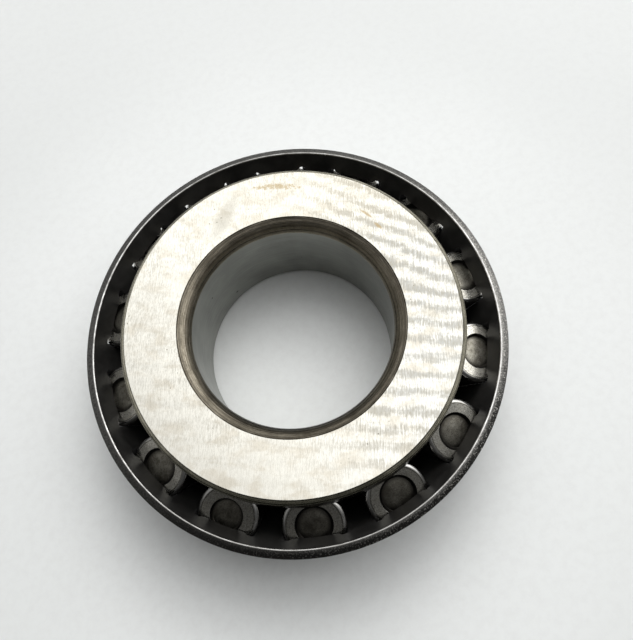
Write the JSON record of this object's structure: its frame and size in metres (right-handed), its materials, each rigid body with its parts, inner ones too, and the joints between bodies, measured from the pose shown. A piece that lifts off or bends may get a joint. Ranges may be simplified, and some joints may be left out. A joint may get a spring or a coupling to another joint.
{
  "type": "tapered roller bearing cone assembly",
  "caption": "Steep-angle tapered roller bearing cone: ground inner ring, tapered rollers that spin and orbit, and a black pressed steel cage with conical wall.",
  "frame": {"origin": "on the bearing axis in the plane of the small (front) face, on which the part stands", "axes": "+Z along the bearing axis, towards the large (back) face; +X through the axis of roller 01"},
  "size_m": [0.0804, 0.0804, 0.0237],
  "materials": {
    "ring_steel": "ground faces with fine straight grinding marks, turned brown corners",
    "roller_steel": "ground body and end face, dark forged dimple in the large end",
    "cage_steel": "glossy black oxide on pressed steel, bare sheared edge at the rim"
  },
  "bodies": {
    "inner_ring": {"inner_ring": "ring_steel"},
    "cage": {"cage": "cage_steel"},
    "roller_01": {"roller_01": "roller_steel"},
    "roller_02": {"roller_02": "roller_steel"},
    "roller_03": {"roller_03": "roller_steel"},
    "roller_04": {"roller_04": "roller_steel"},
    "roller_05": {"roller_05": "roller_steel"},
    "roller_06": {"roller_06": "roller_steel"},
    "roller_07": {"roller_07": "roller_steel"},
    "roller_08": {"roller_08": "roller_steel"},
    "roller_09": {"roller_09": "roller_steel"},
    "roller_10": {"roller_10": "roller_steel"},
    "roller_11": {"roller_11": "roller_steel"},
    "roller_12": {"roller_12": "roller_steel"},
    "roller_13": {"roller_13": "roller_steel"},
    "roller_14": {"roller_14": "roller_steel"}
  },
  "joints": [
    {"name": "cage_spin", "type": "hinge", "parent": "inner_ring", "child": "cage", "pos_m": [0, 0, 0.0119], "axis": [0, 0, 1], "continuous": true},
    {"name": "roller_01_spin", "type": "hinge", "parent": "cage", "child": "roller_01", "pos_m": [0.0324, 0, 0.00889], "axis": [0.4015, 0, 0.9159], "continuous": true},
    {"name": "roller_02_spin", "type": "hinge", "parent": "cage", "child": "roller_02", "pos_m": [0.02919, 0.01406, 0.00889], "axis": [0.3618, 0.1742, 0.9159], "continuous": true},
    {"name": "roller_03_spin", "type": "hinge", "parent": "cage", "child": "roller_03", "pos_m": [0.0202, 0.02533, 0.00889], "axis": [0.2503, 0.3139, 0.9159], "continuous": true},
    {"name": "roller_04_spin", "type": "hinge", "parent": "cage", "child": "roller_04", "pos_m": [0.00721, 0.03159, 0.00889], "axis": [0.0893, 0.3914, 0.9159], "continuous": true},
    {"name": "roller_05_spin", "type": "hinge", "parent": "cage", "child": "roller_05", "pos_m": [-0.00721, 0.03159, 0.00889], "axis": [-0.0893, 0.3914, 0.9159], "continuous": true},
    {"name": "roller_06_spin", "type": "hinge", "parent": "cage", "child": "roller_06", "pos_m": [-0.0202, 0.02533, 0.00889], "axis": [-0.2503, 0.3139, 0.9159], "continuous": true},
    {"name": "roller_07_spin", "type": "hinge", "parent": "cage", "child": "roller_07", "pos_m": [-0.02919, 0.01406, 0.00889], "axis": [-0.3618, 0.1742, 0.9159], "continuous": true},
    {"name": "roller_08_spin", "type": "hinge", "parent": "cage", "child": "roller_08", "pos_m": [-0.0324, 0, 0.00889], "axis": [-0.4015, 0, 0.9159], "continuous": true},
    {"name": "roller_09_spin", "type": "hinge", "parent": "cage", "child": "roller_09", "pos_m": [-0.02919, -0.01406, 0.00889], "axis": [-0.3618, -0.1742, 0.9159], "continuous": true},
    {"name": "roller_10_spin", "type": "hinge", "parent": "cage", "child": "roller_10", "pos_m": [-0.0202, -0.02533, 0.00889], "axis": [-0.2503, -0.3139, 0.9159], "continuous": true},
    {"name": "roller_11_spin", "type": "hinge", "parent": "cage", "child": "roller_11", "pos_m": [-0.00721, -0.03159, 0.00889], "axis": [-0.0893, -0.3914, 0.9159], "continuous": true},
    {"name": "roller_12_spin", "type": "hinge", "parent": "cage", "child": "roller_12", "pos_m": [0.00721, -0.03159, 0.00889], "axis": [0.0893, -0.3914, 0.9159], "continuous": true},
    {"name": "roller_13_spin", "type": "hinge", "parent": "cage", "child": "roller_13", "pos_m": [0.0202, -0.02533, 0.00889], "axis": [0.2503, -0.3139, 0.9159], "continuous": true},
    {"name": "roller_14_spin", "type": "hinge", "parent": "cage", "child": "roller_14", "pos_m": [0.02919, -0.01406, 0.00889], "axis": [0.3618, -0.1742, 0.9159], "continuous": true}
  ],
  "couplings": [
    {"joint": "roller_01_spin", "follows": "cage_spin", "ratio": 5.1338},
    {"joint": "roller_02_spin", "follows": "cage_spin", "ratio": 5.1338},
    {"joint": "roller_03_spin", "follows": "cage_spin", "ratio": 5.1338},
    {"joint": "roller_04_spin", "follows": "cage_spin", "ratio": 5.1338},
    {"joint": "roller_05_spin", "follows": "cage_spin", "ratio": 5.1338},
    {"joint": "roller_06_spin", "follows": "cage_spin", "ratio": 5.1338},
    {"joint": "roller_07_spin", "follows": "cage_spin", "ratio": 5.1338},
    {"joint": "roller_08_spin", "follows": "cage_spin", "ratio": 5.1338},
    {"joint": "roller_09_spin", "follows": "cage_spin", "ratio": 5.1338},
    {"joint": "roller_10_spin", "follows": "cage_spin", "ratio": 5.1338},
    {"joint": "roller_11_spin", "follows": "cage_spin", "ratio": 5.1338},
    {"joint": "roller_12_spin", "follows": "cage_spin", "ratio": 5.1338},
    {"joint": "roller_13_spin", "follows": "cage_spin", "ratio": 5.1338},
    {"joint": "roller_14_spin", "follows": "cage_spin", "ratio": 5.1338}
  ]
}
